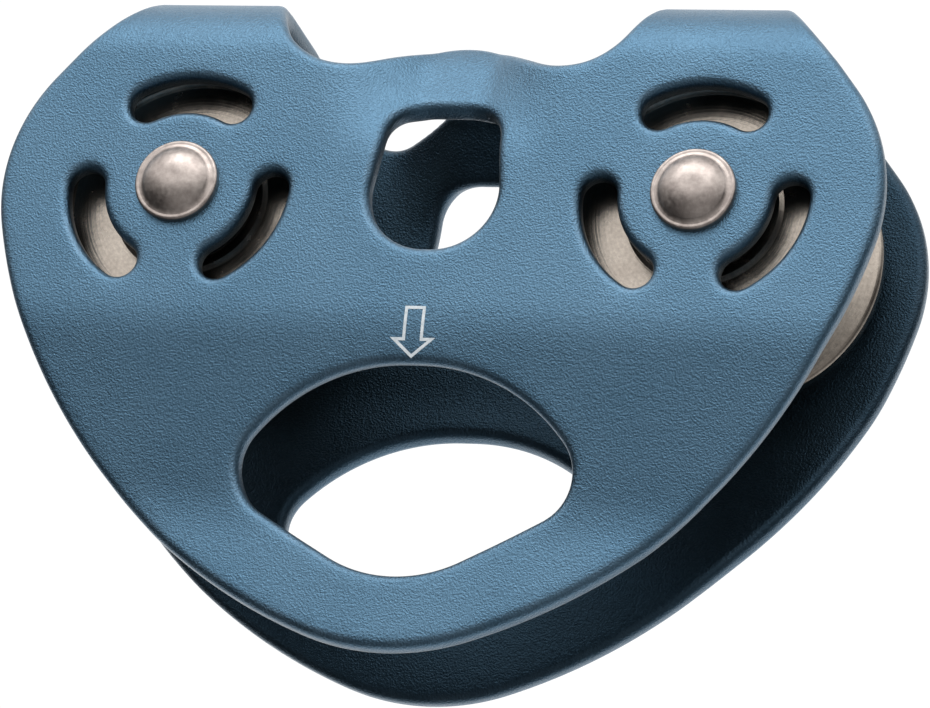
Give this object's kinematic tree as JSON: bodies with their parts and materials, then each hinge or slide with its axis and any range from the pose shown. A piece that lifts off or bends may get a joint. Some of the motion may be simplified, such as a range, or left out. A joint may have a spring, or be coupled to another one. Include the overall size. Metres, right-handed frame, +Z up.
{
  "type": "tandem rope pulley",
  "caption": "Tandem rope pulley: a folded, blue anodised sheet body that rides a rope on grooved ball-bearing sheaves and hangs a load from an oval eye.",
  "frame": {"origin": "on the centre line of the thickest rope that fits, midway between the sheaves and the cheeks", "axes": "+X along the rope, +Y from the front cheek to the rear cheek along the axles, +Z up from the load eye to the bridges"},
  "size_m": [0.1076, 0.034, 0.0822],
  "materials": {
    "anodised_body": "bead-blasted, blue anodised",
    "rivet_steel": "tumbled stainless",
    "sheave_metal": "turned, satin",
    "spacer_steel": "turned",
    "bearing_steel": "ground",
    "ball_steel": "polished",
    "cage_brass": "machined",
    "shield_steel": "pressed sheet"
  },
  "bodies": {
    "frame": {"body_plate": "anodised_body", "left_axle": "rivet_steel", "left_front_spacer": "spacer_steel", "left_middle_spacer": "spacer_steel", "left_rear_spacer": "spacer_steel", "left_front_bearing_inner_race": "bearing_steel", "left_rear_bearing_inner_race": "bearing_steel", "right_axle": "rivet_steel", "right_front_spacer": "spacer_steel", "right_middle_spacer": "spacer_steel", "right_rear_spacer": "spacer_steel", "right_front_bearing_inner_race": "bearing_steel", "right_rear_bearing_inner_race": "bearing_steel"},
    "left_wheel": {"left_sheave": "sheave_metal", "left_front_bearing_outer_race": "bearing_steel", "left_front_bearing_outer_shield": "shield_steel", "left_front_bearing_inner_shield": "shield_steel", "left_rear_bearing_outer_race": "bearing_steel", "left_rear_bearing_outer_shield": "shield_steel", "left_rear_bearing_inner_shield": "shield_steel"},
    "right_wheel": {"right_sheave": "sheave_metal", "right_front_bearing_outer_race": "bearing_steel", "right_front_bearing_outer_shield": "shield_steel", "right_front_bearing_inner_shield": "shield_steel", "right_rear_bearing_outer_race": "bearing_steel", "right_rear_bearing_outer_shield": "shield_steel", "right_rear_bearing_inner_shield": "shield_steel"},
    "left_ball_sets": {"left_front_bearing_balls": "ball_steel", "left_front_bearing_cage": "cage_brass", "left_rear_bearing_balls": "ball_steel", "left_rear_bearing_cage": "cage_brass"},
    "right_ball_sets": {"right_front_bearing_balls": "ball_steel", "right_front_bearing_cage": "cage_brass", "right_rear_bearing_balls": "ball_steel", "right_rear_bearing_cage": "cage_brass"}
  },
  "joints": [
    {"name": "left_sheave_spin", "type": "hinge", "parent": "frame", "child": "left_wheel", "pos_m": [-0.0315, 0, 0.0182], "axis": [0, 1, 0], "continuous": true},
    {"name": "left_balls_roll", "type": "hinge", "parent": "frame", "child": "left_ball_sets", "pos_m": [-0.0315, 0, 0.0182], "axis": [0, 1, 0], "continuous": true},
    {"name": "right_sheave_spin", "type": "hinge", "parent": "frame", "child": "right_wheel", "pos_m": [0.0315, 0, 0.0182], "axis": [0, 1, 0], "continuous": true},
    {"name": "right_balls_roll", "type": "hinge", "parent": "frame", "child": "right_ball_sets", "pos_m": [0.0315, 0, 0.0182], "axis": [0, 1, 0], "continuous": true}
  ],
  "couplings": [
    {"joint": "left_balls_roll", "follows": "left_sheave_spin", "ratio": 0.5992},
    {"joint": "right_balls_roll", "follows": "right_sheave_spin", "ratio": 0.5992}
  ]
}
